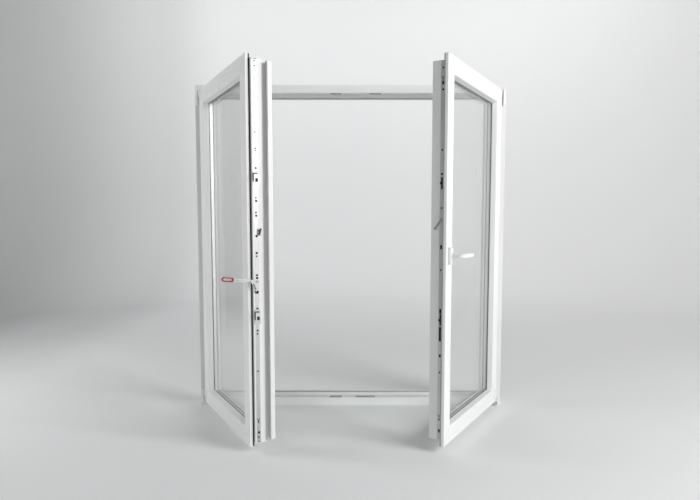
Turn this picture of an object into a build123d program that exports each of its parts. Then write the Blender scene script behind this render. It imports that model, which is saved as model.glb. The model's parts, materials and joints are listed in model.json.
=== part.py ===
from build123d import *
from math import asin, cos, degrees, radians, sin
import os

# A two-leaf white PVC-U window that opens inwards, seen from the room with both leaves open.
# +X is right, +Y is outdoors and +Z is up. The origin is the middle of the outer frame's underside.
# Each leaf is drawn closed, in its own coordinates: x from the hinge-side edge of the room flange,
# y from the room face towards outdoors, z up from the flange's lower edge. It is then turned open.

# Driving dimensions, in millimetres and degrees
FRAME_WIDTH = 1465.0
FRAME_HEIGHT = 1535.0
FRAME_DEPTH = 74.0
LEG = 36.0  # frame edge to rebate floor
LIP = 20.0  # rebate floor to the tip of the outer lip
LIP_DEPTH = 18.0
LEAF_INSET = 28.0  # frame edge to the leaf's room flange
LEAF_GAP = 6.0  # between the two room flanges when both leaves are shut
LEFT_WIDTH = 692.0
RIGHT_WIDTH = FRAME_WIDTH - 2 * LEAF_INSET - LEAF_GAP - LEFT_WIDTH
SEAL_GAP = 6.0  # flange to frame
FLANGE = 20.0  # flange width beyond the sash body
FLANGE_DEPTH = 12.0
SASH_DEPTH = 70.0
SASH_FLOOR = 46.0  # flange edge to the glazing rebate floor
SASH_LIP = 68.0  # flange edge to the tip of the outer glazing lip
LIP_FACE = 55.0  # room face to the outer glazing lip
BEAD_EDGE = 72.0
WALL = 3.0
LEFT_OPEN = 62.6  # opening angle at rest
RIGHT_OPEN = 60.6
HINGE_OUT = 12.0  # hinge axis, outboard of the flange edge
HINGE_FRONT = 6.0  # and in front of the leaf's room face

LEAF_HEIGHT = FRAME_HEIGHT - 2 * LEAF_INSET
FRAME_FACE = -FRAME_DEPTH / 2  # room face of the frame, in Y
LEAF_FACE = FRAME_FACE - FLANGE_DEPTH - SEAL_GAP
FLANGE_X = FRAME_WIDTH / 2 - LEAF_INSET
HINGE_X = FLANGE_X + HINGE_OUT
HINGE_Y = LEAF_FACE - HINGE_FRONT

# Hardware groove round each sash, and the parts that run in it
GROOVE = (20.0, 36.0)  # in leaf y
GROOVE_DEPTH = 10.0
GROOVE_MID = sum(GROOVE) / 2
PLATE = 2.5
ROD = (3.0, 5.5)  # depth of a drive rod below the sash edge
ROD_WIDTH = 10.0
CAM_STEM_R = 3.5
CAM_HEAD_R = 5.0
CAM_OUT = 8.5  # how far a cam stands out of the sash edge
CAM_HEAD = 3.5
KEEP_WALL = 7.0  # height of a keep's catching wall
KEEP_DEPTH = 22.0
CATCH_GAP = 0.5  # cam to wall on the astragal
FRAME_CATCH_GAP = 1.5  # more on the frame, for the tilted leaf
TRAVEL = 18.0  # of the active leaf's rods, for a quarter turn of the handle
PASSIVE_TRAVEL = 16.0
BORE_PLAY = 0.05
SCREW_R = 1.9
SCREW_HEAD_R = 3.4
RUN_GAP = 0.3

# Handle and gears
HANDLE_Z = 735.0
HANDLE_IN = 35.0  # flange edge to handle axis
HANDLE_OUT = 55.0  # room face to the middle of the lever
HANDLE_LENGTH = 117.0
CAM_Z = (1008.0, 490.0)  # cams on the active leaf, with the handle level
LEVER_Z = 640.0  # pivot of the passive leaf's lever
LEVER_LENGTH = 136.0
LEVER_REST = 6.0  # the open lever's tip is this much above level
GRIP_SIZE = (46.0, 17.0)
GRIP_HOLE = (34.0, 8.0)
LINK_ARM = 21.0  # lever pivot to the link's pin
LINK_LENGTH = 46.6
LINK_TILT = degrees(asin(LINK_ARM * cos(radians(LEVER_REST)) / LINK_LENGTH))
LIFT_Z = 872.0  # pivot of the anti-misuse lever
TILT_Z = 4.0  # tilt axis above the flange's lower edge

# Astragal on the passive leaf, from its flange edge
AST_BODY = 14.0  # face towards the active leaf
AST_LIP = 34.0
AST_GROOVE = (23.0, 39.0)
AST_MID = sum(AST_GROOVE) / 2
AST_END = 2.0  # body end to the lip's end, past the frame's lip

# Cams on the rails, in leaf x, with the gears released
PASSIVE_CAM_X = 618.5
ACTIVE_TOP_X = 600.5
ACTIVE_BOTTOM_X = 622.5
FIXING_R = 4.0
FIXING_Z = (180.0, 767.5, 1355.0)
FIXING_DEPTH = 30.0  # room face of the frame to the fixing line
GLASS_EDGE = 50.0
PANES = ((28.0, 32.0), (48.0, 52.0))

# Hinges and stay, in leaf z
UPPER = (LEAF_HEIGHT - 67.0, LEAF_HEIGHT - 32.0)
LOWER = (-6.0, 24.0)
PIN_R = 3.0
KNUCKLE_R = 6.5
STAY_Z = (LEAF_HEIGHT - FLANGE + 2.5, LEAF_HEIGHT - FLANGE + 7.5)
STAY_LENGTH = 400.0


def outline(points, rounds=()):
    """A closed polygon with some corners rounded: rounds holds (corner, radius)."""
    face = make_face(Polyline(*points, close=True))
    for corner, radius in rounds:
        near = face.vertices().sort_by_distance((*corner, 0))[0]
        face = fillet(near, radius)
    return face


def chamber(y0, y1, u0, u1):
    """A rectangular hole in a profile, in depth y and height u."""
    return Pos((y0 + y1) / 2, (u0 + u1) / 2) * Rectangle(y1 - y0, u1 - u0)


def block(x, y, z):
    """A box from three (low, high) pairs."""
    size = [b - a for a, b in (x, y, z)]
    return Pos(*[(a + b) / 2 for a, b in (x, y, z)]) * Box(*size)


def bar(axis, radius, start, end, a, b):
    """A round bar along an axis, at (a, b) in the other two."""
    middle, length = (start + end) / 2, abs(end - start)
    if axis == "x":
        return Pos(middle, a, b) * Rot(0, 90, 0) * Cylinder(radius, length)
    if axis == "y":
        return Pos(a, middle, b) * Rot(90, 0, 0) * Cylinder(radius, length)
    return Pos(a, b, middle) * Cylinder(radius, length)


def member(section, length, reach):
    """A profile along X, with its outer edge on the X axis and both ends mitred."""
    half = length / 2
    run = extrude(Plane.YZ * section, amount=half, both=True)
    wedge = Polyline((-half, 0), (half, 0), (half - reach, reach), (reach - half, reach), close=True)
    return run & extrude(Plane.XZ * make_face(wedge), amount=200, both=True)


def ring(width, height, section, reach):
    """Four mitred members round a rectangle whose lower corner is the origin."""
    across = member(section, width, reach)
    upright = member(section, height, reach)
    return {
        "bottom": Pos(width / 2, 0, 0) * across,
        "top": Pos(width / 2, 0, height) * Rot(0, 180, 0) * across,
        "hinge": Pos(0, 0, height / 2) * Rot(0, 90, 0) * upright,
        "lock": Pos(width, 0, height / 2) * Rot(0, -90, 0) * upright,
    }


def hoop(width, height, u, y):
    """A plain rectangular ring between two heights u, from the rectangle's edge."""
    outer = block((u[0], width - u[0]), y, (u[0], height - u[0]))
    return outer - block((u[1], width - u[1]), y, (u[1], height - u[1]))


def tubes(width, height, y, u, short):
    """Four steel box sections inside the profile, one for each side."""
    inner_y = (y[0] + 1.5, y[1] - 1.5)
    inner_u = (u[0] + 1.5, u[1] - 1.5)
    across, upright = (short, width - short), (short, height - short)
    made = []
    for low in (True, False):
        side = u if low else (height - u[1], height - u[0])
        hole = inner_u if low else (height - inner_u[1], height - inner_u[0])
        made.append(block(across, y, side) - block(across, inner_y, hole))
    for low in (True, False):
        side = u if low else (width - u[1], width - u[0])
        hole = inner_u if low else (width - inner_u[1], width - inner_u[0])
        made.append(block(side, y, upright) - block(hole, inner_y, upright))
    return made


def left(shape):
    """Puts a piece of the left leaf in the window, open as it rests."""
    shut = Pos(-FLANGE_X, LEAF_FACE, LEAF_INSET) * shape
    return shut.rotate(Axis((-HINGE_X, HINGE_Y, 0), (0, 0, 1)), -LEFT_OPEN)


def right(shape):
    """The same for the right leaf, which is the mirror image."""
    shut = Pos(FLANGE_X, LEAF_FACE, LEAF_INSET) * shape.mirror(Plane.YZ)
    return shut.rotate(Axis((HINGE_X, HINGE_Y, 0), (0, 0, 1)), RIGHT_OPEN)


parts = {}


def keep(name, placer, *shapes):
    """Files one or more solids under a sub-part's name."""
    solids = [s for shape in shapes for s in placer(shape).solids()]
    parts[name] = solids[0] if len(solids) == 1 else Compound(children=solids)


def stay_put(shape):
    return shape


# Outer frame: four mitred hollow members, steel inside, and the seal on the lip
def frame_section():
    lip_face = FRAME_DEPTH - LIP_DEPTH
    points = ((0, 0), (0, LEG), (lip_face, LEG), (lip_face, LEG + LIP),
              (FRAME_DEPTH - 7, LEG + LIP), (FRAME_DEPTH, LEG + LIP - 6), (FRAME_DEPTH, 0))
    face = outline(points, [((0, LEG), 2.5), ((lip_face, LEG + LIP), 2.0)])
    face -= chamber(WALL, 17, WALL, LEG - WALL)
    face -= chamber(20, 52, WALL, LEG - WALL)
    face -= chamber(55, FRAME_DEPTH - WALL, WALL, LEG - WALL)
    return face - chamber(lip_face + WALL, FRAME_DEPTH - WALL, LEG, LEG + LIP - 7)


def in_frame(shape):
    """From the frame's own corner and room face to the window's origin."""
    return Pos(-FRAME_WIDTH / 2, FRAME_FACE, 0) * shape


def frame():
    sides = ring(FRAME_WIDTH, FRAME_HEIGHT, frame_section(), LEG + LIP)
    steel = tubes(FRAME_WIDTH, FRAME_HEIGHT, (20, 52), (WALL, LEG - WALL), LEG + 8)
    for z in FIXING_Z:
        drill = bar("x", FIXING_R, -1, FRAME_WIDTH + 1, FIXING_DEPTH, z)
        sides["hinge"] -= drill
        sides["lock"] -= drill
        steel[2] -= drill
        steel[3] -= drill
    keep("frame_sill", in_frame, sides["bottom"])
    keep("frame_head", in_frame, sides["top"])
    keep("frame_jamb_left", in_frame, sides["hinge"])
    keep("frame_jamb_right", in_frame, sides["lock"])
    keep("frame_steel", in_frame, *steel)
    lip_face = FRAME_DEPTH - LIP_DEPTH
    seal = hoop(FRAME_WIDTH, FRAME_HEIGHT, (LEG + LIP - 7, LEG + LIP - 1.5), (lip_face - 3.6, lip_face))
    keep("frame_seal", in_frame, seal)


# Keeps: a base on the rebate floor, and walls on the room side that catch a cam
def keep_plate(x, walls, top):
    """One keep in window coordinates. walls are (low, high) in x."""
    floor = FRAME_HEIGHT - LEG if top else LEG
    out = -1 if top else 1
    base = sorted((floor, floor + out * PLATE))
    tall = sorted((floor, floor + out * KEEP_WALL))
    catch = LEAF_FACE + GROOVE_MID - CAM_HEAD_R - FRAME_CATCH_GAP
    wall_y = (catch - 2.5, catch)
    made = block(x, (wall_y[0], wall_y[0] + KEEP_DEPTH), base)
    for span in walls:
        made += block(span, wall_y, tall)
    return made


def frame_keeps():
    """Keeps on the head and the sill, and their countersunk screws."""
    plans = (  # on the head or not, ends of the plate, walls, screws
        (True, (-95, -45), [(-79, -45)], (-89, -51)),
        (False, (-102, -42), [(-79, -42)], (-96, -48)),
        (True, (90, 144), [(111, 144)], (96, 138)),
        (False, (25, 120), [(25, 73), (91, 120)], (31, 114)),
    )
    screw_y = LEAF_FACE + GROOVE_MID + 7
    plates, screws = [], []
    for on_head, ends, walls, places in plans:
        floor = FRAME_HEIGHT - LEG if on_head else LEG
        out = -1 if on_head else 1
        plate = keep_plate(ends, walls, on_head)
        for x in places:
            plate -= bar("z", SCREW_R, floor, floor + out * PLATE, x, screw_y)
            shank = bar("z", SCREW_R, floor, floor + out * PLATE, x, screw_y)
            head = bar("z", SCREW_HEAD_R, floor + out * PLATE, floor + out * (PLATE + 0.8), x, screw_y)
            screws.append(shank + head)
        plates.append(plate)
    keep("frame_keeps", stay_put, *plates)
    keep("keep_screws", stay_put, *screws)


# Sash profile, shared by both leaves
def sash_section():
    points = ((0, 0), (0, SASH_FLOOR), (LIP_FACE, SASH_FLOOR), (LIP_FACE, SASH_LIP),
              (63, SASH_LIP), (SASH_DEPTH, SASH_LIP - 5), (SASH_DEPTH, FLANGE),
              (GROOVE[1], FLANGE), (GROOVE[1], FLANGE + GROOVE_DEPTH),
              (GROOVE[0], FLANGE + GROOVE_DEPTH), (GROOVE[0], FLANGE),
              (FLANGE_DEPTH, FLANGE), (FLANGE_DEPTH, 0))
    face = outline(points, [((0, 0), 2.0), ((0, SASH_FLOOR), 1.2), ((SASH_DEPTH, FLANGE), 1.5),
                            ((FLANGE_DEPTH, 0), 1.0)])
    face -= chamber(WALL, 17, FLANGE + WALL, SASH_FLOOR - WALL)
    face -= chamber(39, 67, FLANGE + WALL, SASH_FLOOR - WALL)
    face -= chamber(GROOVE[0], GROOVE[1], FLANGE + GROOVE_DEPTH + WALL, SASH_FLOOR - WALL)
    face -= chamber(WALL, FLANGE_DEPTH - WALL, WALL, FLANGE - WALL)
    return face - chamber(LIP_FACE + WALL, 67, SASH_FLOOR + WALL, SASH_LIP - 7)


def bead_section():
    points = ((0.4, SASH_FLOOR), (0.4, BEAD_EDGE - 6), (22, BEAD_EDGE), (25, BEAD_EDGE), (25, SASH_FLOOR))
    return outline(points, [((0.4, BEAD_EDGE - 6), 5.0), ((0.4, SASH_FLOOR), 0.6)])


def glazed_sash(side, placer, width):
    """The frame, steel, glass, beads and seals of one leaf. Returns its four sash members."""
    sides = ring(width, LEAF_HEIGHT, sash_section(), BEAD_EDGE + 8)
    keep(side + "_sash_steel", placer,
         *tubes(width, LEAF_HEIGHT, (39, 67), (FLANGE + WALL, SASH_FLOOR - WALL), BEAD_EDGE))
    for name, y in zip(("room_pane", "outer_pane"), PANES):
        pane = block((GLASS_EDGE, width - GLASS_EDGE), y, (GLASS_EDGE, LEAF_HEIGHT - GLASS_EDGE))
        keep(f"{side}_{name}", placer, pane)
    keep(side + "_spacer", placer,
         hoop(width, LEAF_HEIGHT, (GLASS_EDGE + 2, GLASS_EDGE + 14), (PANES[0][1], PANES[1][0])))
    keep(side + "_beads", placer, *ring(width, LEAF_HEIGHT, bead_section(), BEAD_EDGE + 8).values())
    keep(side + "_glazing_seals", placer,
         hoop(width, LEAF_HEIGHT, (BEAD_EDGE - 8, BEAD_EDGE), (25, PANES[0][0])),
         hoop(width, LEAF_HEIGHT, (SASH_LIP - 8, SASH_LIP), (PANES[1][1], LIP_FACE)))
    seal = hoop(width, LEAF_HEIGHT, (1.5, 7.5), (FLANGE_DEPTH, FLANGE_DEPTH + SEAL_GAP - 0.4))
    if side == "right":
        seal -= block((0, 9), (FLANGE_DEPTH, FLANGE_DEPTH + SEAL_GAP),
                      (LEAF_HEIGHT - FLANGE - 1, LEAF_HEIGHT - FLANGE + 11))
    seals = [seal]
    if side == "left":
        past_lip = LEG + LIP - LEAF_INSET + AST_END
        seals.append(block((width + AST_LIP - 7, width + AST_LIP - 1.5), (FRAME_DEPTH - 3.6, FRAME_DEPTH),
                           (past_lip, LEAF_HEIGHT - past_lip)))
    keep(side + "_overlap_seal", placer, *seals)
    return sides


def keep_sash(side, placer, sides):
    names = {"bottom": "bottom_rail", "top": "top_rail", "hinge": "hinge_stile", "lock": "lock_stile"}
    for key, name in names.items():
        keep(f"{side}_{name}", placer, sides[key])


def rail_slot(x, reach, z, tall, width=2 * CAM_STEM_R + 1):
    """A slot for a cam that slides along a rail."""
    return block((x - reach, x + reach), (GROOVE_MID - width / 2, GROOVE_MID + width / 2), (z, z + tall))


def slider(x, low, high, top):
    """A short drive rod in a rail's groove, with one cam that stands out of the rail."""
    edge = LEAF_HEIGHT - FLANGE if top else FLANGE
    out = 1 if top else -1
    y = (GROOVE_MID - ROD_WIDTH / 2, GROOVE_MID + ROD_WIDTH / 2)
    strip = block((x - low, x + high), y, sorted((edge - out * ROD[0], edge - out * ROD[1])))
    stem = bar("z", CAM_STEM_R, edge - out * ROD[1], edge + out * CAM_OUT, x, GROOVE_MID)
    head = bar("z", CAM_HEAD_R, edge + out * (CAM_OUT - CAM_HEAD), edge + out * CAM_OUT, x, GROOVE_MID)
    return strip + stem + head


def rail_plate(x, cam_x, reach, top):
    """The faceplate at one end of a rail, over the slider."""
    edge = LEAF_HEIGHT - FLANGE if top else FLANGE
    z = (edge - PLATE, edge) if top else (edge, edge + PLATE)
    return block(x, GROOVE, z) - rail_slot(cam_x, reach, z[0], PLATE)


# Left leaf, with the astragal, its gear and its lever
def astragal(width):
    low, high = FLANGE, LEAF_HEIGHT - FLANGE
    y0 = FLANGE_DEPTH + SEAL_GAP
    outer = FRAME_DEPTH + y0
    body, lip, back = AST_BODY, AST_LIP, -FLANGE
    floor = body - GROOVE_DEPTH
    points = ((back, y0), (body, y0), (body, AST_GROOVE[0]), (floor, AST_GROOVE[0]),
              (floor, AST_GROOVE[1]), (body, AST_GROOVE[1]), (body, 60), (body - 4, 60),
              (body - 4, 74), (lip, 74), (lip, outer), (back - 8, outer), (back - 8, SASH_DEPTH),
              (back, SASH_DEPTH))
    face = outline(points, [((lip, outer), 3.0), ((back - 8, outer), 3.0), ((lip, 74), 1.2)])
    for x, y in (((-17, 1), (21, 57)), ((-17, 7), (60, 71)), ((-25, 31), (77, 89))):
        face -= Pos(sum(x) / 2, sum(y) / 2) * Rectangle(x[1] - x[0], y[1] - y[0])
    shape = Pos(width, 0, low) * extrude(face, amount=high - low)
    past_lip = LEG + LIP - LEAF_INSET + AST_END
    for z in ((low - 1, past_lip), (LEAF_HEIGHT - past_lip, high + 1)):
        shape -= block((width - 40, width + 40), (SASH_DEPTH, outer + 1), z)
    return shape - block((width - 8, width + AST_BODY), AST_GROOVE, (LEVER_Z - 62, LEVER_Z + 62))


def astragal_caps(width):
    x, y = (width - 19, width + AST_BODY - 1), (FLANGE_DEPTH + SEAL_GAP + 1, 69)
    return [block(x, y, (z - 3, z)) for z in (FLANGE, LEAF_HEIGHT - FLANGE + 3)]


def astragal_keeps(width):
    """Keeps on the astragal for the active leaf's cams, open downwards."""
    made, screws = [], []
    face = width + AST_BODY
    catch = GROOVE_MID - CAM_HEAD_R - CATCH_GAP
    wall_y = (catch - 3, catch)
    for cam in CAM_Z:
        mid = cam + TRAVEL
        shape = block((face, face + PLATE), (wall_y[0], wall_y[0] + 24), (mid - 30, mid + 26))
        shape += block((face, face + KEEP_WALL), wall_y, (mid - 8, mid + 16))
        for z in (mid - 25, mid + 21):
            shape -= bar("x", SCREW_R, face, face + PLATE, GROOVE_MID + 10, z)
            shank = bar("x", SCREW_R, face, face + PLATE, GROOVE_MID + 10, z)
            head = bar("x", SCREW_HEAD_R, face + PLATE, face + PLATE + 0.8, GROOVE_MID + 10, z)
            screws.append(shank + head)
        made.append(shape)
    lift = block((face, face + 6), (AST_MID + 6, AST_MID + 20), (LIFT_Z - 60, LIFT_Z - 34))
    made.append(fillet(lift.edges().filter_by(Axis.Y), 2.0))
    return made, screws


def passive_gear(width):
    face = width + AST_BODY
    plate_z = (FLANGE + 4, LEAF_HEIGHT - FLANGE - 4)
    plate = block((face - PLATE, face), AST_GROOVE, plate_z)
    plate -= bar("x", 4 + BORE_PLAY, face - PLATE, face, AST_MID, LEVER_Z)
    case_z = (LEVER_Z - 60, LEVER_Z + 60)
    case = block((face - 20, face - PLATE), (AST_GROOVE[0], AST_GROOVE[1]), case_z)
    case -= block((face - 17, face - PLATE), (AST_GROOVE[0] + 2, AST_GROOVE[1] - 2), (case_z[0] + 3, case_z[1] - 3))
    case -= bar("x", 4 + BORE_PLAY, face - 20, face - 17, AST_MID, LEVER_Z)
    rods = []
    y = (AST_MID - ROD_WIDTH / 2, AST_MID + ROD_WIDTH / 2)
    for z in ((60, case_z[0] - 20), (case_z[1] + 20, LEAF_HEIGHT - 60)):
        rods.append(block((face - ROD[1], face - ROD[0]), y, z))
    keep("passive_faceplate", left, plate,
         rail_plate((width - 150, width - FLANGE - 4), PASSIVE_CAM_X + PASSIVE_TRAVEL / 2, 13, True),
         rail_plate((width - 150, width - FLANGE - 4), PASSIVE_CAM_X + PASSIVE_TRAVEL / 2, 13, False))
    keep("passive_gear_case", left, case)
    keep("passive_rods", left, *rods)


def passive_lever(width):
    """A flat lever with a loop grip, almost level at rest and upright along the faceplate when shut."""
    face = width + AST_BODY + RUN_GAP
    tip = AST_MID - LEVER_LENGTH
    grip_end = tip + GRIP_SIZE[0]
    tongue = (grip_end - 7, grip_end)  # the arm runs this far into the grip
    side = (LEVER_Z - 5.5, LEVER_Z + 5.5)
    arm = block((face, face + 3), (tongue[0], AST_MID), side)
    arm += bar("x", 9, face, face + 3, AST_MID, LEVER_Z)
    arm += bar("x", 4, face - RUN_GAP - 19, face, AST_MID, LEVER_Z)
    arm += bar("x", PIN_R, face + 3, face + 6, AST_MID - LINK_ARM, LEVER_Z)
    loop = Pos(face + 2.5, tip + GRIP_SIZE[0] / 2, LEVER_Z) * Box(5, *GRIP_SIZE)
    loop = fillet(loop.edges().filter_by(Axis.X), 7.5)
    hole = Pos(face + 2.5, tip + GRIP_SIZE[0] / 2 - 1, LEVER_Z) * Box(5, *GRIP_HOLE)
    loop -= fillet(hole.edges().filter_by(Axis.X), 3.5)
    loop -= block((face, face + 3), (tongue[0], tongue[1] + 1), side)
    pivot = Axis((0, AST_MID, LEVER_Z), (1, 0, 0))
    keep("passive_lever", left, arm.rotate(pivot, -LEVER_REST))
    keep("passive_lever_grip", left, loop.rotate(pivot, -LEVER_REST))

    low = face + 3 + RUN_GAP
    pin = (AST_MID - LINK_ARM * cos(radians(LEVER_REST)), LEVER_Z + LINK_ARM * sin(radians(LEVER_REST)))
    strap = Pos(0, -LINK_LENGTH / 2) * Rectangle(8, LINK_LENGTH)
    strap += Circle(5.5) + Pos(0, -LINK_LENGTH) * Circle(5)
    plane = Plane((low, *pin), x_dir=(0, 1, 0), z_dir=(1, 0, 0))
    link = extrude(plane * (Rot(0, 0, LINK_TILT) * strap), amount=2)
    keep("passive_link", left, link - bar("x", PIN_R + BORE_PLAY, low, low + 2, *pin))


def knuckle(z, pin, plate=None, arm=None, play=0.0):
    """A hinge barrel round the hinge axis, in leaf coordinates."""
    axis = (-HINGE_OUT, -HINGE_FRONT)
    made = bar("z", KNUCKLE_R, *z, *axis)
    if plate:
        made += block(plate, (-2.5, 0), z)
    if arm:
        made += block((-HINGE_OUT - 6.5, -HINGE_OUT + 3.5), (-HINGE_FRONT, FLANGE_DEPTH + SEAL_GAP), z)
    if play:
        return made - bar("z", pin + play, *z, *axis)
    return made


def shut_left(shape):
    """A frame-side piece, given in the left leaf's coordinates, which stays with the frame."""
    return Pos(-FLANGE_X, LEAF_FACE, LEAF_INSET) * shape


def shut_right(shape):
    return Pos(FLANGE_X, LEAF_FACE, LEAF_INSET) * shape.mirror(Plane.YZ)


def left_hinges():
    fixed, moving = [], []
    axis = (-HINGE_OUT, -HINGE_FRONT)
    for low, high in (UPPER, LOWER):
        pin = bar("z", PIN_R, high, high + 32, *axis)
        fixed.append(knuckle((low, high), PIN_R, arm=True) + pin)
        flap = (high + RUN_GAP, high + 34)
        moving.append(knuckle(flap, PIN_R, plate=(-HINGE_OUT, 22), play=BORE_PLAY))
    keep("left_frame_hinges", shut_left, *fixed)
    keep("left_hinge_flaps", left, *moving)


def left_leaf():
    width = LEFT_WIDTH
    sides = glazed_sash("left", left, width)
    keep_sash("left", left, sides)
    keep("astragal", left, astragal(width))
    keep("astragal_caps", left, *astragal_caps(width))
    keeps, screws = astragal_keeps(width)
    keep("astragal_keeps", left, *keeps)
    keep("astragal_keep_screws", left, *screws)
    passive_gear(width)
    passive_lever(width)
    for name, top in (("passive_top_slider", True), ("passive_bottom_slider", False)):
        keep(name, left, slider(PASSIVE_CAM_X, 20, 30, top))
    left_hinges()


# Right leaf: turns on its swivel, tilts on the trunnion, and carries the handle and its gear
def handle_parts(width):
    x = width - HANDLE_IN
    rosette = Pos(x, -5.5, HANDLE_Z) * Box(31, 11, 62)
    rosette = fillet(rosette.edges().filter_by(Axis.Y), 8.0)
    rosette = fillet(rosette.faces().sort_by(Axis.Y)[0].edges(), 2.0)
    rosette -= bar("y", 8 + BORE_PLAY, -11, 0, x, HANDLE_Z)
    screws = []
    for z in (HANDLE_Z - 21.5, HANDLE_Z + 21.5):
        rosette -= bar("y", 2.6, -9, 0, x, z)
        screws.append(bar("y", 2.6, -8, 0, x, z) + bar("y", 2.2, 0, 14, x, z))
    front = -HANDLE_OUT - 6.5
    neck = bar("y", 8, -HANDLE_OUT, -0.5, x, HANDLE_Z)
    grip = Pos(x - HANDLE_LENGTH / 2 + 5, -HANDLE_OUT, HANDLE_Z) * Box(HANDLE_LENGTH + 10, 13, 18)
    grip = fillet(grip.edges().filter_by(Axis.X), 5.0)
    ends = grip.faces().sort_by(Axis.X)
    grip = fillet(ends[0].edges() + ends[-1].edges(), 3.0)
    lever = grip + neck
    lever -= block((x - 3.55, x + 3.55), (front + 12, 0), (HANDLE_Z - 3.55, HANDLE_Z + 3.55))
    spindle = block((x - 3.5, x + 3.5), (front + 12, GROOVE[1] - 1.4), (HANDLE_Z - 3.5, HANDLE_Z + 3.5))
    keep("handle_rosette", right, rosette)
    keep("handle_screws", right, *screws)
    keep("handle_lever", right, lever)
    keep("handle_spindle", right, spindle)
    follower = bar("y", 8, GROOVE[0] + 3, GROOVE[1] - 3, x, HANDLE_Z)
    follower += bar("y", 6, GROOVE[0] + 0.5, GROOVE[1] - 1, x, HANDLE_Z)
    follower -= block((x - 3.55, x + 3.55), GROOVE, (HANDLE_Z - 3.55, HANDLE_Z + 3.55))
    keep("gear_follower", right, follower)
    case = block((x - 9.8, width - FLANGE - PLATE), GROOVE, (HANDLE_Z - 68, HANDLE_Z + 68))
    case -= block((x - 8.3, width - FLANGE - PLATE), (GROOVE[0] + 2, GROOVE[1] - 2),
                  (HANDLE_Z - 68, HANDLE_Z + 68))
    case -= bar("y", 6 + BORE_PLAY, *GROOVE, x, HANDLE_Z)
    keep("gearbox", right, case)


def bore_stile(stile, width):
    """Cuts the gearbox pocket, the spindle hole and the handle's screw holes."""
    x = width - HANDLE_IN
    stile -= block((x - 9.8, width - FLANGE), GROOVE, (HANDLE_Z - 68, HANDLE_Z + 68))
    stile -= bar("y", 7, 0, GROOVE[0], x, HANDLE_Z)
    for z in (HANDLE_Z - 21.5, HANDLE_Z + 21.5):
        stile -= bar("y", 2.2, 0, WALL, x, z)
    return stile


def active_gear(width):
    edge = width - FLANGE
    y = (GROOVE_MID - ROD_WIDTH / 2, GROOVE_MID + ROD_WIDTH / 2)
    rod = block((edge - ROD[1], edge - ROD[0]), y, (60, LEAF_HEIGHT - 60))
    cams = []
    plate = block((edge - PLATE, edge), GROOVE, (FLANGE + 4, LEAF_HEIGHT - FLANGE - 4))
    for z in CAM_Z:
        stem = bar("x", CAM_STEM_R, edge - ROD[0], edge + CAM_OUT, GROOVE_MID, z)
        cams.append(stem + bar("x", CAM_HEAD_R, edge + CAM_OUT - CAM_HEAD, edge + CAM_OUT, GROOVE_MID, z))
        slot = (z - TRAVEL - CAM_STEM_R - 1, z + TRAVEL + CAM_STEM_R + 1)
        plate -= block((edge - PLATE, edge), (GROOVE_MID - 4, GROOVE_MID + 4), slot)
    plate -= bar("x", 3 + BORE_PLAY, edge - PLATE, edge, GROOVE_MID, LIFT_Z)
    span = (width - 170, width - FLANGE - 4)
    keep("active_faceplate", right, plate,
         rail_plate(span, ACTIVE_TOP_X, TRAVEL + CAM_STEM_R + 1, True),
         rail_plate(span, ACTIVE_BOTTOM_X, TRAVEL + CAM_STEM_R + 1, False))
    keep("active_rod", right, rod)
    keep("active_cams", right, *cams)
    keep("active_top_slider", right, slider(ACTIVE_TOP_X, 45, 25, True))
    keep("active_bottom_slider", right, slider(ACTIVE_BOTTOM_X, 45, 15, False))


def lift_lever(width):
    """The anti-misuse lever: it hangs out at an angle until the shut leaf pushes it upright."""
    face = width - FLANGE + RUN_GAP
    arm = Pos(0, -20, 0) * Rectangle(7, 40) + Circle(5) + Pos(0, -42) * Circle(4.5)
    arm = Plane((face, GROOVE_MID, LIFT_Z), x_dir=(0, 1, 0), z_dir=(1, 0, 0)) * (Rot(0, 0, 36) * arm)
    shape = extrude(arm, amount=4)
    keep("lift_lever", right, shape + bar("x", 3, face - RUN_GAP - PLATE, face, GROOVE_MID, LIFT_Z))


def stay_arm():
    """Wraps round the flange's hinge edge, then lies along the top rail."""
    behind = (FLANGE_DEPTH + 0.4, FLANGE_DEPTH + SEAL_GAP - 0.6)
    x0, y0 = -HINGE_OUT, -HINGE_FRONT
    made = bar("z", KNUCKLE_R, *STAY_Z, x0, y0)
    made += block((x0 - 4, x0 + 4), (y0, behind[1]), STAY_Z)
    made += block((x0 - 4, 20), behind, STAY_Z)
    made += block((8.5, 20), (behind[0], 34), STAY_Z)
    made += block((8.5, x0 + STAY_LENGTH), (22, 34), STAY_Z)
    made += bar("z", 6, *STAY_Z, x0 + STAY_LENGTH, 28)
    return made - bar("z", PIN_R + BORE_PLAY, *STAY_Z, x0, y0)


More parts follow.
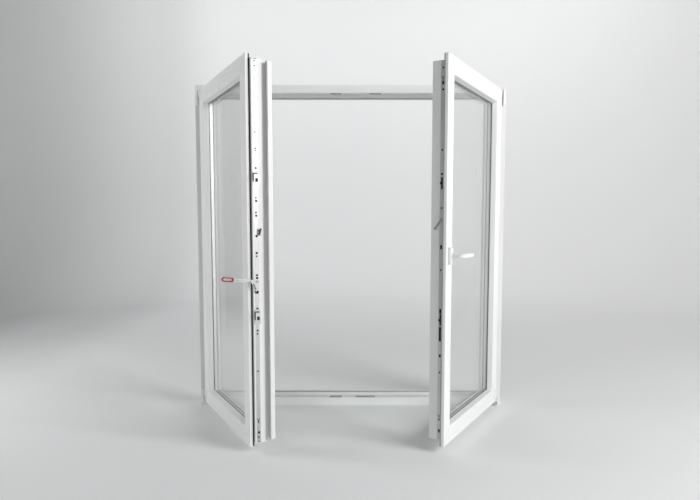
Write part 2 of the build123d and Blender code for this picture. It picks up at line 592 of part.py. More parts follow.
def right_hinges():
    axis = (-HINGE_OUT, -HINGE_FRONT)
    bearing_z = (STAY_Z[0] - 50, STAY_Z[0] - RUN_GAP)
    top = knuckle(bearing_z, PIN_R, arm=True) + bar("z", PIN_R, bearing_z[1], STAY_Z[1] + 2, *axis)
    cap = bar("z", KNUCKLE_R, STAY_Z[1] + RUN_GAP, STAY_Z[1] + 14, *axis)
    cap -= bar("z", PIN_R, STAY_Z[1] + RUN_GAP, STAY_Z[1] + 2, *axis)
    low = (-20.0, -2.0)
    cup = knuckle(low, PIN_R, arm=True) - bar("z", PIN_R + BORE_PLAY, low[0] + 4, low[1], *axis)
    keep("right_frame_bearings", shut_right, top, cap, cup)
    swivel = bar("z", KNUCKLE_R, low[1] + RUN_GAP, TILT_Z + 8, *axis)
    swivel += bar("z", PIN_R, low[0] + 4.5, low[1] + RUN_GAP, *axis)
    swivel += bar("x", PIN_R, -HINGE_OUT, 14, -HINGE_FRONT, TILT_Z)
    keep("right_hinge_swivel", right, swivel)
    lug = block((-4, 12), (-HINGE_FRONT - 5, 0), (TILT_Z - 5, TILT_Z + 8))
    lug += block((0, 26), (-2.5, 0), (TILT_Z - 4, TILT_Z + 58))
    lug -= bar("x", PIN_R + BORE_PLAY, -4, 27, -HINGE_FRONT, TILT_Z)
    keep("right_hinge_bracket", right, lug)
    keep("right_stay_arm", right, stay_arm())


def right_leaf():
    width = RIGHT_WIDTH
    sides = glazed_sash("right", right, width)
    sides["lock"] = bore_stile(sides["lock"], width)
    keep_sash("right", right, sides)
    handle_parts(width)
    active_gear(width)
    lift_lever(width)
    right_hinges()


frame()
frame_keeps()
left_leaf()
right_leaf()

os.makedirs("parts", exist_ok=True)
for name, shape in parts.items():
    export_step(shape, f"parts/{name}.step")
print(len(parts), "sub-parts")
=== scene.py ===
import json
import math

import bmesh
import bpy
from mathutils import Matrix, Vector


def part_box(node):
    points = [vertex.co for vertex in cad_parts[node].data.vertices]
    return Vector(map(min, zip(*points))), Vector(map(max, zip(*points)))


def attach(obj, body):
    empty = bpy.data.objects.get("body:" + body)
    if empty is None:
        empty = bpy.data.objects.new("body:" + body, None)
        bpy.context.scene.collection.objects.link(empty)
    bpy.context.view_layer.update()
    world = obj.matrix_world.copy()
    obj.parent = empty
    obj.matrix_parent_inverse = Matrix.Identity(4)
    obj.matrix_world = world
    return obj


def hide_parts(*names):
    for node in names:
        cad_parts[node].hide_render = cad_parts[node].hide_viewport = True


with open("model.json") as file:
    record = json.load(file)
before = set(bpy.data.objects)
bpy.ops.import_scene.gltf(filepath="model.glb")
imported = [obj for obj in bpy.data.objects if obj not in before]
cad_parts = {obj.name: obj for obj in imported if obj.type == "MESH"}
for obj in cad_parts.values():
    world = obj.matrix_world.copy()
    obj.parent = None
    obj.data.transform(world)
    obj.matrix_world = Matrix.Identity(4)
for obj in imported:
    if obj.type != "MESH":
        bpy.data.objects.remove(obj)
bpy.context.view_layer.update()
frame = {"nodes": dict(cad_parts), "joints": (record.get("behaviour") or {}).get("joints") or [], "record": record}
nodes = frame["nodes"]
joints = {j["name"]: j for j in frame["joints"]}

MM = 0.001

# Sizes in millimetres. The frame's coordinates start at its lower left corner on the room face.
# A leaf has its own: x from the hinge-side edge of the room flange, y from the room face outwards,
# z up from the flange's lower edge.
FRAME_WIDTH = 1465.0
FRAME_HEIGHT = 1535.0
FRAME_DEPTH = 74.0
LEG = 36.0  # frame's edge to its rebate floor
LIP = 20.0  # rebate floor to the tip of the outer lip
LEAF_HEIGHT = 1479.0
LEFT_WIDTH = 692.0
RIGHT_WIDTH = 711.0
LEAF_INSET = 28.0  # frame's edge to the leaf's edge
FLANGE = 20.0
SASH_FLOOR = 46.0  # leaf's edge to the glazing rebate's floor
SASH_DEPTH = 70.0
SASH_LIP = 68.0  # leaf's edge to the tip of its outer lip
BEAD_FACE = 0.4
HINGE_OUT = 12.0
HINGE_FRONT = 6.0
PASSIVE_FACE = LEFT_WIDTH + 14.0  # face of the astragal's faceplate
PASSIVE_MID = 31.0  # depth of its middle
ACTIVE_FACE = RIGHT_WIDTH - FLANGE
ACTIVE_MID = 28.0
HANDLE_X = RIGHT_WIDTH - 35.0
HANDLE_Z = 735.0
LEVER_Z = 640.0
LIFT_Z = 872.0
CAM_Z = (1008.0, 490.0)


def leaf_place(joint, side):
    """The matrix from a leaf's own millimetres to the window at rest, from the joint that it
    turns on."""
    pivot, axis = Vector(joint["pos_m"]), Vector(joint["axis"])
    turn = Matrix.Rotation(-math.radians(joint["range_deg"][0]), 4, axis)
    corner = Vector((pivot.x - side * HINGE_OUT * MM, pivot.y + HINGE_FRONT * MM, LEAF_INSET * MM))
    about = Matrix.Translation(pivot) @ turn @ Matrix.Translation(-pivot)
    return about @ Matrix.Translation(corner) @ Matrix.Diagonal((-side * MM, MM, MM, 1))


LEFT = leaf_place(joints["left_turn"], -1)
RIGHT = leaf_place(joints["right_turn"], 1)
LEFT_ANGLE = math.radians(joints["left_turn"]["range_deg"][0])
RIGHT_ANGLE = -math.radians(joints["right_turn"]["range_deg"][0])
frame_corner = Vector((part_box("frame_jamb_left")[0].x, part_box("frame_sill")[0].y, 0.0))
FRAME = Matrix.Translation(frame_corner) @ Matrix.Diagonal((MM, MM, MM, 1))


# ---------------------------------------------------------------- materials
def node_material(name):
    mat = bpy.data.materials.new(name)
    mat.use_nodes = True
    tree = mat.node_tree
    shader = tree.nodes["Principled BSDF"]
    return mat, tree, shader


def pattern(tree, scale, turn=0.0, detail=3.0):
    """Noise over the piece's own coordinates, turned about Z and then scaled along each axis."""
    where = tree.nodes.new("ShaderNodeTexCoord")
    turned = tree.nodes.new("ShaderNodeMapping")
    turned.inputs["Rotation"].default_value = (0, 0, turn)
    sized = tree.nodes.new("ShaderNodeMapping")
    sized.inputs["Scale"].default_value = scale
    noise = tree.nodes.new("ShaderNodeTexNoise")
    noise.inputs["Scale"].default_value = 1.0
    noise.inputs["Detail"].default_value = detail
    noise.inputs["Roughness"].default_value = 0.5
    tree.links.new(where.outputs["Object"], turned.inputs["Vector"])
    tree.links.new(turned.outputs["Vector"], sized.inputs["Vector"])
    tree.links.new(sized.outputs["Vector"], noise.inputs["Vector"])
    return noise.outputs["Fac"]


def spread(tree, value, low, high):
    """Maps the middle of a noise value to the range low to high."""
    node = tree.nodes.new("ShaderNodeMapRange")
    node.inputs["From Min"].default_value = 0.3
    node.inputs["From Max"].default_value = 0.7
    node.inputs["To Min"].default_value = low
    node.inputs["To Max"].default_value = high
    tree.links.new(value, node.inputs["Value"])
    return node.outputs["Result"]


def tint(tree, value, dark, light):
    """Maps the middle of a noise value to the colours dark to light."""
    ramp = tree.nodes.new("ShaderNodeValToRGB")
    ramp.color_ramp.elements[0].position = 0.3
    ramp.color_ramp.elements[0].color = (*dark, 1)
    ramp.color_ramp.elements[1].position = 0.7
    ramp.color_ramp.elements[1].color = (*light, 1)
    tree.links.new(value, ramp.inputs["Fac"])
    return ramp.outputs["Color"]


def bumps(tree, shader, layers):
    """Chains bump nodes: layers holds (value, strength, distance in metres)."""
    last = None
    for value, strength, distance in layers:
        bump = tree.nodes.new("ShaderNodeBump")
        bump.inputs["Strength"].default_value = strength
        bump.inputs["Distance"].default_value = distance
        tree.links.new(value, bump.inputs["Height"])
        if last:
            tree.links.new(last, bump.inputs["Normal"])
        last = bump.outputs["Normal"]
    tree.links.new(last, shader.inputs["Normal"])


def surface(name, dark, light, rough, tone_scale, grain_scale, grain, turn=0.0, metallic=0.0,
            waves=0.0, specular=0.5, coat=0.0):
    """A finish with a slow change of tone, a varied gloss and a fine grain.
    tone_scale and grain_scale are periods per metre along x, y and z. grain is in metres."""
    mat, tree, shader = node_material(name)
    tone = pattern(tree, tone_scale, turn)
    fine = pattern(tree, grain_scale, turn, detail=2.0)
    tree.links.new(tint(tree, tone, dark, light), shader.inputs["Base Color"])
    tree.links.new(spread(tree, fine, *rough), shader.inputs["Roughness"])
    layers = [(fine, 0.6, grain)]
    if waves:
        layers.append((pattern(tree, (14, 14, 6), turn, detail=1.0), 0.5, waves))
    bumps(tree, shader, layers)
    shader.inputs["Metallic"].default_value = metallic
    shader.inputs["Specular IOR Level"].default_value = specular
    shader.inputs["Coat Weight"].default_value = coat
    shader.inputs["Coat Roughness"].default_value = 0.2
    return mat


def grey(value, warm=0.0):
    """A grey, or a slightly warm or cool one."""
    return (value + warm, value, value - warm)


def pvc(name, along, turn=0.0):
    """White PVC-U with faint die lines along the profile."""
    grain = [700.0, 700.0, 700.0]
    tone = [9.0, 9.0, 9.0]
    grain[along] = 5.0
    tone[along] = 2.0
    return surface(name, grey(0.83), grey(0.875), (0.26, 0.40), tone, grain, 0.00002,
                   turn, waves=0.0006, specular=0.45)


PVC_UP = pvc("pvc_upright", 2)
PVC_FRAME = pvc("pvc_frame_across", 0)
PVC_LEFT = pvc("pvc_left_across", 0, -LEFT_ANGLE)
PVC_RIGHT = pvc("pvc_right_across", 0, -RIGHT_ANGLE)
SEAM = surface("pvc_seam", grey(0.62), grey(0.70), (0.4, 0.6), (40, 40, 40),
               (900, 900, 900), 0.00003)
CAP = surface("cap_plastic", grey(0.80), grey(0.85), (0.30, 0.42), (30, 30, 30),
              (1500, 1500, 1500), 0.00001)
POWDER = surface("handle_powder_coat", grey(0.82), grey(0.87), (0.24, 0.36), (25, 25, 25),
                 (900, 900, 900), 0.00003, coat=0.15)
SEAL = surface("seal_rubber_dark", grey(0.018), grey(0.035), (0.50, 0.72), (60, 60, 20),
               (1500, 1500, 300), 0.00004, specular=0.35)
# Grey seal rubber, also used for the painted shadow line at the handle's base
GASKET_AND_SHADOW = surface("seal_rubber_grey_and_painted_shadow", grey(0.36), grey(0.44), (0.48, 0.68), (60, 60, 20),
                 (1500, 1500, 300), 0.00004, specular=0.35)
STEEL = surface("steel_zinc_brushed", grey(0.52, -0.004), grey(0.64, -0.004), (0.26, 0.46),
                (25, 25, 3), (1800, 1800, 12), 0.00002, metallic=0.85)
SCREW = surface("screw_zinc", grey(0.52), grey(0.66), (0.28, 0.45), (200, 200, 200),
                (2500, 2500, 2500), 0.00001, metallic=0.9)
CAST = surface("cast_zinc_silver", grey(0.34), grey(0.42), (0.38, 0.55), (90, 90, 90),
               (1600, 1600, 1600), 0.00005, metallic=0.7)
# Black metal parts, and black pieces that paint shade along and below the passive lever's link
BLACK = surface("black_passivated_and_painted_shade", grey(0.010), grey(0.020), (0.50, 0.66), (120, 120, 120),
                (1800, 1800, 1800), 0.00003, specular=0.25)
HOLE = surface("shadowed_hole", grey(0.008), grey(0.016), (0.7, 0.9), (200, 200, 200),
               (900, 900, 900), 0.00002, specular=0.1)
RED = surface("grip_red_plastic", (0.22, 0.006, 0.010), (0.30, 0.010, 0.014), (0.34, 0.50),
              (70, 70, 70), (1600, 1600, 1600), 0.00003)
SPACER = surface("spacer_aluminium", grey(0.66), grey(0.78), (0.30, 0.46), (30, 30, 4),
                 (1500, 1500, 30), 0.00002, metallic=0.75)
LABEL = surface("label_paper", grey(0.86), grey(0.90), (0.55, 0.7), (60, 60, 60),
                (1200, 1200, 1200), 0.00002)


def glass():
    """Clear float glass with faint dust and rolling waves. Shadow and diffuse rays pass it."""
    mat, tree, shader = node_material("float_glass")
    shader.inputs["Base Color"].default_value = (0.99, 0.997, 0.995, 1)
    shader.inputs["Transmission Weight"].default_value = 1.0
    shader.inputs["IOR"].default_value = 1.45
    shader.inputs["Specular IOR Level"].default_value = 0.12
    dust = pattern(tree, (35, 35, 35), detail=4.0)
    tree.links.new(spread(tree, dust, 0.0, 0.03), shader.inputs["Roughness"])
    bumps(tree, shader, [(pattern(tree, (3, 3, 2), detail=1.0), 0.15, 0.0004)])
    clear = tree.nodes.new("ShaderNodeBsdfTransparent")
    clear.inputs["Color"].default_value = (0.97, 0.98, 0.975, 1)
    path = tree.nodes.new("ShaderNodeLightPath")
    last = shader.outputs["BSDF"]
    for ray in ("Is Shadow Ray", "Is Diffuse Ray"):  # both, or a lamp behind glass counts twice
        mix = tree.nodes.new("ShaderNodeMixShader")
        tree.links.new(path.outputs[ray], mix.inputs["Fac"])
        tree.links.new(last, mix.inputs[1])
        tree.links.new(clear.outputs["BSDF"], mix.inputs[2])
        last = mix.outputs["Shader"]
    tree.links.new(last, tree.nodes["Material Output"].inputs["Surface"])
    return mat


GLASS = glass()

by_slot = {
    "pvc_white": PVC_UP, "seal_dark": SEAL, "seal_grey": GASKET_AND_SHADOW, "steel_zinc": STEEL,
    "cast_zinc": CAST, "black_metal": BLACK, "handle_white": POWDER, "grip_red": RED,
    "cap_white": CAP, "glass": GLASS, "spacer": SPACER,
}
across = {
    "frame_sill": PVC_FRAME, "frame_head": PVC_FRAME,
    "left_top_rail": PVC_LEFT, "left_bottom_rail": PVC_LEFT,
    "right_top_rail": PVC_RIGHT, "right_bottom_rail": PVC_RIGHT,
}


def set_material(obj, mat):
    obj.data.materials.clear()
    obj.data.materials.append(mat)


for part in frame["record"]["subparts"]:
    name = part["node"]
    set_material(nodes[name], across.get(name, by_slot[part["material_slot"]]))
for name, mat in (("right_overlap_seal", GASKET_AND_SHADOW), ("active_rod", BLACK), ("astragal_keeps", STEEL),
                  ("right_hinge_swivel", CAP), ("right_hinge_bracket", CAP)):
    set_material(nodes[name], mat)
for name in ("keep_screws", "astragal_keep_screws", "handle_screws"):
    set_material(nodes[name], SCREW)


def split_material(node, mat, wanted):
    """Gives the faces of a CAD node that wanted(centre) picks a second material."""
    mesh = nodes[node].data
    mesh.materials.append(mat)
    for face in mesh.polygons:
        if wanted(face.center):
            face.material_index = len(mesh.materials) - 1


# The keeps' catching walls are black, and their base plates and the lift block stay zinc. The
# stay arm's hinge end is a white cap, and the seal strip on the astragal is grey.
KEEP_BASE = 2.6  # height of the base plates' top over the faceplate
BLOCK_MID, BLOCK_HALF = LIFT_Z - 47, 20
STAY_CAP_END = 5
STRIP_FROM = LEFT_WIDTH + 10
from_left = LEFT.inverted()
from_right = RIGHT.inverted()
split_material("astragal_keeps", BLACK, lambda c: (from_left @ c).x > PASSIVE_FACE + KEEP_BASE
               and abs((from_left @ c).z - BLOCK_MID) > BLOCK_HALF)
split_material("right_stay_arm", CAP, lambda c: (from_right @ c).x < STAY_CAP_END)
split_material("left_overlap_seal", GASKET_AND_SHADOW, lambda c: (from_left @ c).x > STRIP_FROM)


# ---------------------------------------------------------------- mesh pieces
BEVEL_FROM = 0.6  # angle between two faces, in radians, from which their edge is bevelled
SHARP_FROM = math.radians(38)  # and from which it is shaded as a sharp one
MOST_BEVEL = 0.45  # share of the smallest size that a bevel may take


class Piece:
    """Collects small bevelled solids in millimetres, then becomes one object."""

    def __init__(self):
        self.bm = bmesh.new()

    def _settle(self, made, bevel, segments):
        if bevel:
            edges = {e for v in made for e in v.link_edges if e.calc_face_angle(0) > BEVEL_FROM}
            bmesh.ops.bevel(self.bm, geom=list(edges), offset=bevel, segments=segments,
                            profile=0.5, affect="EDGES", clamp_overlap=True)

    def box(self, x, y, z, bevel=0.3, segments=2, lean=0):
        """A block over three spans, turned about X by an angle in degrees."""
        size = [b - a for a, b in (x, y, z)]
        middle = Vector([(a + b) / 2 for a, b in (x, y, z)])
        matrix = Matrix.Translation(middle)
        if lean:
            matrix = matrix @ Matrix.Rotation(math.radians(lean), 4, "X")
        matrix = matrix @ Matrix.Diagonal((*size, 1))
        made = bmesh.ops.create_cube(self.bm, size=1.0, matrix=matrix)["verts"]
        self._settle(made, min(bevel, min(size) * MOST_BEVEL), segments)

    def disc(self, radius, span, at, bevel=0.25, top=None, sides=28):
        """A short round solid along X over a span, around at = (y, z), narrower at the top if
        asked."""
        length = span[1] - span[0]
        centre = Vector(((span[0] + span[1]) / 2, *at))
        made = bmesh.ops.create_cone(
            self.bm, cap_ends=True, segments=sides, radius1=radius,
            radius2=radius if top is None else top, depth=length,
            matrix=Matrix.Translation(centre) @ Matrix.Rotation(math.pi / 2, 4, "Y"))["verts"]
        self._settle(made, min(bevel, length * MOST_BEVEL), 2)

    def sweep(self, rings):
        """Skins a list of rings, each a list of points, and closes the ends."""
        verts = [[self.bm.verts.new(p) for p in ring] for ring in rings]
        for a, b in zip(verts, verts[1:]):
            for i in range(len(a)):
                k = (i + 1) % len(a)
                self.bm.faces.new((a[i], a[k], b[k], b[i]))
        self.bm.faces.new(list(reversed(verts[0])))
        self.bm.faces.new(verts[-1])

    def lathe(self, axis_at, profile, sides=40):
        """Turns a profile of (radius, height) about the Y axis through axis_at."""
        rings = []
        for radius, height in profile:
            ring = []
            for i in range(sides):
                a = 2 * math.pi * i / sides
                ring.append((axis_at[0] + radius * math.cos(a), height,
                             axis_at[1] + radius * math.sin(a)))
            rings.append(ring)
        self.sweep(rings)

    def ready(self, name, place, body, mat, slot, levels=0):
        """Makes the object, puts it in its place and hangs it under its body's empty. The slot is not used."""
        bmesh.ops.transform(self.bm, matrix=place, verts=self.bm.verts)
        bmesh.ops.recalc_face_normals(self.bm, faces=self.bm.faces)
        mesh = bpy.data.meshes.new(name)
        self.bm.to_mesh(mesh)
        self.bm.free()
        mesh.materials.append(mat)
        obj = bpy.data.objects.new(name, mesh)
        bpy.context.scene.collection.objects.link(obj)
        for face in mesh.polygons:
            face.use_smooth = True
        mesh.set_sharp_from_angle(angle=SHARP_FROM)
        if levels:
            sub = obj.modifiers.new("subdivision", "SUBSURF")
            sub.levels = sub.render_levels = levels
        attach(obj, body)
        return obj


def seam(piece, start, end, at, width, high):
    """A fine raised line across a flat face at y = at, from start to end in (x, z). Its top is
    at y = at - high."""
    a, b = Vector((start[0], 0, start[1])), Vector((end[0], 0, end[1]))
    along = (b - a).normalized()
    side = Vector((-along.z, 0, along.x)) * width / 2
    ring = [(-1, 0.05), (-0.6, -high), (0.6, -high), (1, 0.05)]
    rings = [[p + side * s + Vector((0, at + h, 0)) for s, h in ring] for p in (a, b)]
    piece.sweep(rings)


def corners(width, height, near, far):
    """The four mitre lines of a rectangle, from inset near to inset far."""
    for x0, sx in ((0, 1), (width, -1)):
        for z0, sz in ((0, 1), (height, -1)):
            yield (x0 + sx * near, z0 + sz * near), (x0 + sx * far, z0 + sz * far)


# Weld lines at the corners, and the hairline joints of the glazing beads
WELD_WIDTH, WELD_HIGH = 1.3, 0.12
BEAD_JOINT_WIDTH, BEAD_JOINT_HIGH = 0.5, 0.08


def weld(piece, width, height, room_ends, outer_ends, depth):
    """Weld lines on the room face and on the outer face, each from inset to inset."""
    for a, b in corners(width, height, *room_ends):
        seam(piece, a, b, 0, WELD_WIDTH, WELD_HIGH)
    for a, b in corners(width, height, *outer_ends):
        seam(piece, a, b, depth, WELD_WIDTH, -WELD_HIGH)


welds = Piece()
weld(welds, FRAME_WIDTH, FRAME_HEIGHT, (0.6, LEG - 2.6), (0.6, LEG + LIP - 7), FRAME_DEPTH)
welds.ready("frame_weld_lines", FRAME, "root", SEAM, "pvc_white")
for side, place, width in (("left", LEFT, LEFT_WIDTH), ("right", RIGHT, RIGHT_WIDTH)):
    body = side + "_leaf"
    welds = Piece()
    weld(welds, width, LEAF_HEIGHT, (2.2, SASH_FLOOR - 1.4), (FLANGE + 2, SASH_LIP - 6), SASH_DEPTH)
    welds.ready(side + "_weld_lines", place, body, SEAM, "pvc_white")
    bead_joints = Piece()
    for a, b in corners(width, LEAF_HEIGHT, SASH_FLOOR + 0.8, SASH_FLOOR + 17):
        seam(bead_joints, a, b, BEAD_FACE, BEAD_JOINT_WIDTH, BEAD_JOINT_HIGH)
    bead_joints.ready(side + "_bead_joints", place, body, GASKET_AND_SHADOW, "pvc_white")


# ---------------------------------------------------------------- hardware on the free edges
SCREW_RADIUS = 4.2
MARK_WIDER, MARK_TALLER = 1.5, 1.35  # marks are drawn larger, so that they show at picture size
MARK_SINK, MARK_PROUD = 0.2, 0.12
PLATE_HALF = 7.6  # middle of a faceplate to the middle of its rolled edge
PLATE_END = FLANGE + 5  # leaf's edge to the end of the rolled edges


def plate_screw(heads, marks, face, y, z):
    """A countersunk head almost flush with a faceplate, with a flat dark disc painted as the shade in its round
    recess.
    """
    heads.disc(SCREW_RADIUS, (face - 0.5, face + 0.2), (y, z), bevel=0.3,
               top=SCREW_RADIUS * 0.86)
    marks.disc(SCREW_RADIUS * 0.8, (face + 0.05, face + 0.25), (y, z), bevel=0.08,
               sides=12)


def mark(marks, face, y, z, wide, tall, lean=0):
    """A flat dark mark on a faceplate around (y, z), leaning by an angle in degrees."""
    marks.box((face - MARK_SINK, face + MARK_PROUD), (y - wide / 2, y + wide / 2),
              (z - tall / 2, z + tall / 2), bevel=0.1, lean=lean)


def forked_joint(marks, face, y, z):
    """The forked joint where a corner drive meets the faceplate."""
    for side in (-1, 1):
        mark(marks, face, y + side * 3, z + 5, 2.2, 11, lean=-side * 32)
    mark(marks, face, y, z - 5, 2.2, 12)


def dress_plate(side, place, face, mid, slot_mid, screws, slots, forks):
    """Screw heads, slots as (z, wide, tall), forked joints and rolled edges of a faceplate."""
    owner = {"passive": "left_leaf", "active": "right_leaf"}[side]
    heads, marks, edges = Piece(), Piece(), Piece()
    for z in screws:
        plate_screw(heads, marks, face, mid, z)
    # Each slot is a flat dark mark, painted shade of the opening in the faceplate
    for z, wide, tall in slots:
        mark(marks, face, slot_mid, z, wide * MARK_WIDER, tall * MARK_TALLER)
    for z in forks:
        forked_joint(marks, face, mid, z)
    for way in (-1, 1):
        middle = mid + way * PLATE_HALF
        edges.box((face - 0.3, face + 0.22), (middle - 0.35, middle + 0.35),
                  (PLATE_END, LEAF_HEIGHT - PLATE_END), bevel=0.15)
    heads.ready(side + "_plate_screws", place, owner, SCREW, "steel_zinc")
    marks.ready(side + "_plate_marks", place, owner, HOLE, "steel_zinc")
    edges.ready(side + "_plate_edges", place, owner, STEEL, "steel_zinc")


dress_plate("passive", LEFT, PASSIVE_FACE, PASSIVE_MID, PASSIVE_MID + 1,
            (1431, 1193, 953, 898, 735, 441, 297, 101, 40),
            [(z, 5.2, tall) for z, tall in
             ((1449, 3), (1134, 4), (1126, 3), (1062, 5), (941, 6), (886, 5), (810, 6), (747, 6),
              (664, 5), (652, 8), (536, 6), (453, 4), (58, 6))],
            (1384, 104))
dress_plate("active", RIGHT, ACTIVE_FACE, ACTIVE_MID, ACTIVE_MID,
            (1431, 1131, 915, 681, 286, 100, 52),
            ((1376, 5, 9), (1352, 5, 5), (1042, 5, 6), (768, 5, 12), (523, 6, 14), (457, 6, 9),
             (434, 6, 40), (351, 5, 8), (58, 5, 6)),
            (1392, 112))

# ---------------------------------------------------------------- handle
SIDES = 24
ROUNDING = 0.75  # 1 gives an ellipse, and less gives a squarer section
BEND = 15.0
BEND_STEPS = 8
NECK_END = -38.0

outline = []
for i in range(SIDES):
    a = 2 * math.pi * i / SIDES
    c, s = math.cos(a), math.sin(a)
    outline.append((math.copysign(abs(c) ** ROUNDING, c), math.copysign(abs(s) ** ROUNDING, s)))
rings = []
for y, half, tall in ((-1.0, 8.0, 8.0), (-14.0, 7.8, 8.0), (-28.0, 7.4, 7.8), (NECK_END, 7.0, 7.8)):
    rings.append([(HANDLE_X + u * half, y, HANDLE_Z + v * tall) for u, v in outline])
for k in range(1, BEND_STEPS):  # the bend from the neck into the grip
    share = k / BEND_STEPS
    a = math.pi / 2 * share
    middle = Vector((HANDLE_X - BEND * (1 - math.cos(a)), NECK_END - BEND * math.sin(a) * 1.05,
                     HANDLE_Z))
    half, tall = 7.0 - share, 7.8 + 0.6 * share
    across_dir = Vector((math.cos(a), -math.sin(a), 0))
    rings.append([middle + across_dir * (u * half) + Vector((0, 0, v * tall)) for u, v in outline])
for x, half, tall in ((-24, 5.9, 8.4), (-45, 5.6, 8.3), (-70, 5.5, 8.4), (-95, 5.8, 8.7),
                      (-108, 5.9, 8.8), (-113.5, 5.0, 7.9), (-116.4, 3.2, 5.6), (-117, 1.2, 2.2)):
    rings.append([(HANDLE_X + x, -54.4 - u * half, HANDLE_Z + v * tall) for u, v in outline])
grip = Piece()
grip.sweep(rings)
lever = grip.ready("handle_grip", RIGHT, "handle", POWDER, "handle_white", levels=1)
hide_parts("handle_lever")
collar = Piece()
collar.lathe((HANDLE_X, HANDLE_Z), [(8.3, -10.6), (10.4, -10.8), (10.9, -11.5), (10.4, -12.4),
                                    (8.9, -12.9), (8.3, -12.9)])
collar.ready("handle_collar", RIGHT, "right_leaf", CAP, "handle_white")
# A thin grey plate just wider than the rosette, painted shadow of the gap along the rosette's base
base_line = Piece()
base_line.box((HANDLE_X - 15.7, HANDLE_X + 15.7), (-1.2, -0.1),
              (HANDLE_Z - 31.2, HANDLE_Z + 31.2), bevel=0.4)
base_line.ready("handle_base_shadow_gap", RIGHT, "right_leaf", GASKET_AND_SHADOW, "seal_grey")

# ---------------------------------------------------------------- passive lever and its link
# In the lever's own coordinates its pivot is the origin and the arm runs to negative y
lever_tilt = math.radians(90 + joints["passive_lever_turn"]["range_deg"][0])
LEVER = LEFT @ Matrix.Translation((0, PASSIVE_MID, LEVER_Z)) @ Matrix.Rotation(-lever_tilt, 4, "X")
face = PASSIVE_FACE + 0.3
rivets = Piece()
rivets.disc(6.0, (face + 2.9, face + 3.12), (0, 0), bevel=0.08)
rivets.disc(3.6, (face + 3.0, face + 3.2), (0, 0), bevel=0.06)
rivets.disc(2.4, (face + 2.9, face + 4.0), (-58, 0), bevel=0.4)
rivets.ready("lever_rivets", LEVER, "passive_lever", CAST, "steel_zinc")
rib = Piece()
rib.box((face + 2.8, face + 3.5), (-86, -64), (-2.2, 2.2), bevel=0.3)
rib.ready("lever_rib", LEVER, "passive_lever", CAST, "steel_zinc")

# A dark gear hub under the link's lower end, whose black also paints the shade at the link's foot
low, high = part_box("passive_link")
link_foot = from_left @ Vector(((low.x + high.x) / 2, (low.y + high.y) / 2, low.z))
hub = Piece()
for radius, bottom, top in ((7.2, 0.05, 1.5), (3.0, 1.4, 3.1)):
    hub.disc(radius, (PASSIVE_FACE + bottom, PASSIVE_FACE + top),
             (PASSIVE_MID, link_foot.z + 5), bevel=0.4)
hub.ready("lever_gear_hub", LEFT, "left_leaf", BLACK, "black_metal")

# A black rib along the link, painted shade for its dark outline, and a black rivet at its lower end that also
# paints shade at the link's foot
LINK_TOP = PASSIVE_FACE + 5.6
LINK_LEAN = 26.6
link_rib = Piece()
link_rib.box((LINK_TOP - 0.1, LINK_TOP + 0.6), (19.0, 22.2), (608.5, 634.0), bevel=0.25,
             lean=LINK_LEAN)
link_rib.disc(4.9, (LINK_TOP - 0.1, LINK_TOP + 1.0), (PASSIVE_MID, 600.5), bevel=0.3)
link_rib.ready("link_shade_rib_and_rivet", LEFT, "passive_link", BLACK, "black_metal")

# Black catch bodies on the astragal's keeps: a bent bar and a stop, below the cams' path
CATCH_OVER_CAM = 18
catches = Piece()
base = (PASSIVE_FACE + 2.2, PASSIVE_FACE + 3.2)
for cam in CAM_Z:
    mid = cam + CATCH_OVER_CAM
    catches.box(base, (20.6, 24.2), (mid - 15, mid + 19), bevel=0.3)
    catches.box(base, (20.6, 39.5), (mid + 14.5, mid + 19), bevel=0.3)
    catches.box(base, (29.5, 39.5), (mid - 15, mid - 1), bevel=0.5)
catches.ready("keep_catches", LEFT, "left_leaf", BLACK, "black_metal")

# A black ramp of two leaning bars on the lift block
hook = Piece()
for y, z, lean in (((36, 51), (LIFT_Z - 43, LIFT_Z - 36), 35),
                   ((38, 46), (LIFT_Z - 58, LIFT_Z - 42), -20)):
    hook.box((PASSIVE_FACE + 5.7, PASSIVE_FACE + 6.8), y, z, bevel=0.4, lean=lean)
hook.ready("lift_block_ramp", LEFT, "left_leaf", BLACK, "cast_zinc")

# ---------------------------------------------------------------- spacer label and drain covers
label = Piece()
label.box((64.0, 64.25), (34.6, 45.4), (472, 508), bevel=0.08)
label.ready("spacer_label", LEFT, "left_leaf", LABEL, "spacer")

drains = Piece()
for x in (180, FRAME_WIDTH / 2, 1285):
    drains.box((x - 19, x + 19), (FRAME_DEPTH - 0.3, FRAME_DEPTH + 2.2), (13, 24), bevel=1.6,
               segments=3)
    drains.box((x - 15, x + 15), (FRAME_DEPTH + 1.8, FRAME_DEPTH + 3.4), (18.5, 22), bevel=0.7)
drains.ready("drain_covers", FRAME, "root", CAP, "cap_white")

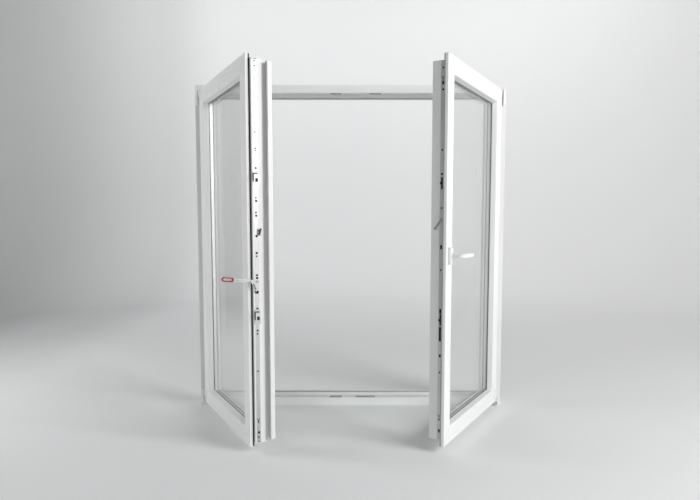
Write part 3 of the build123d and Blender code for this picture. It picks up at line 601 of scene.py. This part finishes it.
# ---------------------------------------------------------------- room, light and camera
def backdrop():
    """A round pale floor that curves up into a wall, wide enough for a camera on any side."""
    floor_r, bend_r, top, sides = 4.3, 1.3, 5.2, 96
    below = -0.0005  # just under the sill
    floor_steps, bend_steps = 6, 16
    profile = [(floor_r * k / floor_steps, below) for k in range(1, floor_steps + 1)]
    for k in range(1, bend_steps + 1):
        a = math.pi / 2 * k / bend_steps
        profile.append((floor_r + bend_r * math.sin(a), bend_r * (1 - math.cos(a)) + below))
    profile.append((floor_r + bend_r, top))
    turns = [2 * math.pi * i / sides for i in range(sides)]
    bm = bmesh.new()
    rings = []
    for radius, height in profile:
        rings.append([bm.verts.new((radius * math.cos(t), radius * math.sin(t), height))
                      for t in turns])
    bm.faces.new(rings[0])
    for inner, outer in zip(rings, rings[1:]):
        for i in range(sides):
            k = (i + 1) % sides
            bm.faces.new((inner[i], outer[i], outer[k], inner[k]))
    mesh = bpy.data.meshes.new("backdrop")
    bm.to_mesh(mesh)
    bm.free()
    for poly in mesh.polygons:
        poly.use_smooth = True
    obj = bpy.data.objects.new("backdrop", mesh)
    bpy.context.scene.collection.objects.link(obj)
    mat, tree, shader = node_material("pale_paper_painted_light")
    # The paper is painted darker at the left and paler at the right, painted light and shade as if lit from the
    # right, in the backdrop's own coordinates
    where = tree.nodes.new("ShaderNodeTexCoord")
    split = tree.nodes.new("ShaderNodeSeparateXYZ")
    shade = tree.nodes.new("ShaderNodeMapRange")
    shade.inputs["From Min"].default_value = -floor_r - bend_r
    shade.inputs["From Max"].default_value = 2.3
    shade.inputs["To Min"].default_value = 0.0
    shade.inputs["To Max"].default_value = 1.0
    ramp = tree.nodes.new("ShaderNodeValToRGB")
    ramp.color_ramp.interpolation = "EASE"
    ramp.color_ramp.elements[0].color = (0.52, 0.53, 0.535, 1)
    ramp.color_ramp.elements[1].color = (0.95, 0.95, 0.95, 1)
    for place, value in ((0.22, 0.62), (0.40, 0.80), (0.50, 0.94), (0.70, 0.92)):
        ramp.color_ramp.elements.new(place).color = (value, value + 0.004, value + 0.006, 1)
    tree.links.new(where.outputs["Object"], split.inputs["Vector"])
    tree.links.new(split.outputs["X"], shade.inputs["Value"])
    tree.links.new(shade.outputs["Result"], ramp.inputs["Fac"])
    tree.links.new(ramp.outputs["Color"], shader.inputs["Base Color"])
    shader.inputs["Roughness"].default_value = 0.9
    shader.inputs["Specular IOR Level"].default_value = 0.1
    mesh.materials.append(mat)


def area(name, at, aim, size, power):
    """A rectangular lamp, turned to an aim and hidden from the camera, also through glass."""
    data = bpy.data.lights.new(name, "AREA")
    data.shape = "RECTANGLE"
    data.size, data.size_y = size
    data.energy = power
    obj = bpy.data.objects.new(name, data)
    obj.location = at
    obj.rotation_euler = (Vector(aim) - Vector(at)).to_track_quat("-Z", "Y").to_euler()
    bpy.context.scene.collection.objects.link(obj)
    obj.visible_camera = False
    obj.visible_transmission = False


backdrop()
# Lamps: place, aim, size in metres, power in watts
area("key", (3.6, -2.9, 2.3), (0, -0.3, 0.8), (2.2, 2.2), 148)
area("left_fill", (-3.5, -0.3, 1.4), (-0.4, -0.3, 0.8), (1.6, 2.2), 42)
area("front_fill", (0.4, -4.7, 3.0), (0, 0, 0.8), (3.0, 2.0), 2)
area("wall_wash", (0.3, 2.6, 4.4), (0.3, 5.6, 2.4), (5.0, 1.0), 64)
world = bpy.data.worlds.new("studio")
world.use_nodes = True
sky = world.node_tree.nodes["Background"]
sky.inputs["Color"].default_value = (0.96, 0.98, 1.0, 1)
sky.inputs["Strength"].default_value = 0.10
bpy.context.scene.world = world

CAMERA_DOWN = 4.80  # degrees below level
cam_data = bpy.data.cameras.new("camera")
cam_data.lens = 31.1
cam_data.sensor_width = 36.0
cam_data.shift_y = 0.0367
camera = bpy.data.objects.new("camera", cam_data)
camera.location = (-0.003, -2.945, 0.880)
camera.rotation_euler = (math.radians(90 - CAMERA_DOWN), 0, 0)
bpy.context.scene.collection.objects.link(camera)
bpy.context.scene.camera = camera
bpy.context.scene.view_settings.view_transform = "Standard"
